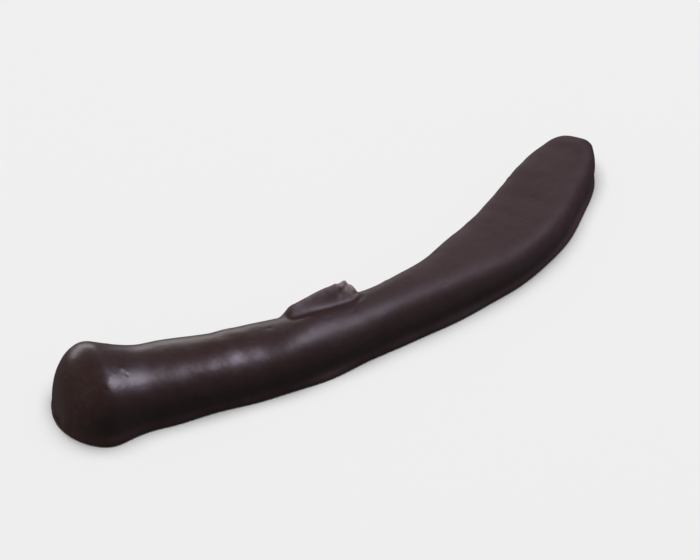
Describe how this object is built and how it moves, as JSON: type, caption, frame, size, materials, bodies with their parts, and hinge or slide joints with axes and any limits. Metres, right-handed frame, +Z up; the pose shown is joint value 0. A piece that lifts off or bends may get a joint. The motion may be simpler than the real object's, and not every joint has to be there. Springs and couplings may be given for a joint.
{
  "type": "orangette",
  "caption": "Bowed stick of candied peel in a full coat of dark chocolate, thick and round at one end and broad and flat at the other, lying on its flat underside.",
  "frame": {"origin": "bottom centre of the stick's bounding box, on the plane it rests on", "axes": "+Z up from the flat underside; +X along the chord, from the thick end to the flat end; the stick bows toward -Y"},
  "size_m": [0.0904, 0.0226, 0.0095],
  "materials": {
    "dark_chocolate": "satin dark chocolate, very dark cool brown"
  },
  "bodies": {
    "root": {"orangette": "dark_chocolate"}
  },
  "joints": []
}
